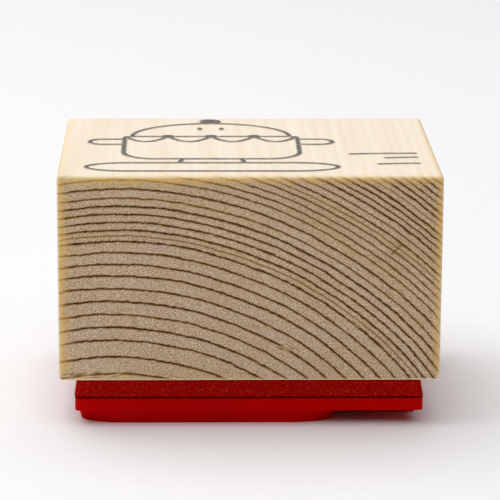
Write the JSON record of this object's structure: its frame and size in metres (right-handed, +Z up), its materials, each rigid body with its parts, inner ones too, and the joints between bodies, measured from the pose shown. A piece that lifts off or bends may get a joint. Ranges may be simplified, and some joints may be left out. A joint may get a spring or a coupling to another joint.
{
  "type": "rubber stamp",
  "caption": "Wood-mounted rubber stamp: an eased pine block on a foam cushion, with a moulded red die below and its picture printed on top.",
  "frame": {"origin": "on the table under the middle of the block, with the printing face down on it", "axes": "+X to the right along the block's width, +Y back along the wood's grain so that the end grain faces -Y, +Z up"},
  "size_m": [0.04, 0.03, 0.0272],
  "materials": {
    "pine": "sanded bare pine with brown growth rings, unvarnished",
    "red_rubber": "smooth moulded red rubber, slightly satin",
    "red_foam": "cut cellular red foam, matt and speckled",
    "adhesive_film": "thin double-sided adhesive film",
    "grey_ink": "soft grey ink soaked into bare wood"
  },
  "bodies": {
    "die": {"rubber_die": "red_rubber", "die_adhesive": "adhesive_film", "foam_cushion": "red_foam"},
    "block": {"wood_block": "pine", "block_adhesive": "adhesive_film", "print_pot_and_tray": "grey_ink", "print_vent_left": "grey_ink", "print_vent_right": "grey_ink", "print_rule_long": "grey_ink", "print_rule_middle": "grey_ink", "print_rule_short": "grey_ink"}
  },
  "joints": [
    {"name": "cushion_press", "type": "slide", "parent": "die", "child": "block", "axis": [0, 0, -1], "range_m": [0, 0.0005], "stiffness_N_per_m": 36000, "deforming": ["foam_cushion"]}
  ]
}
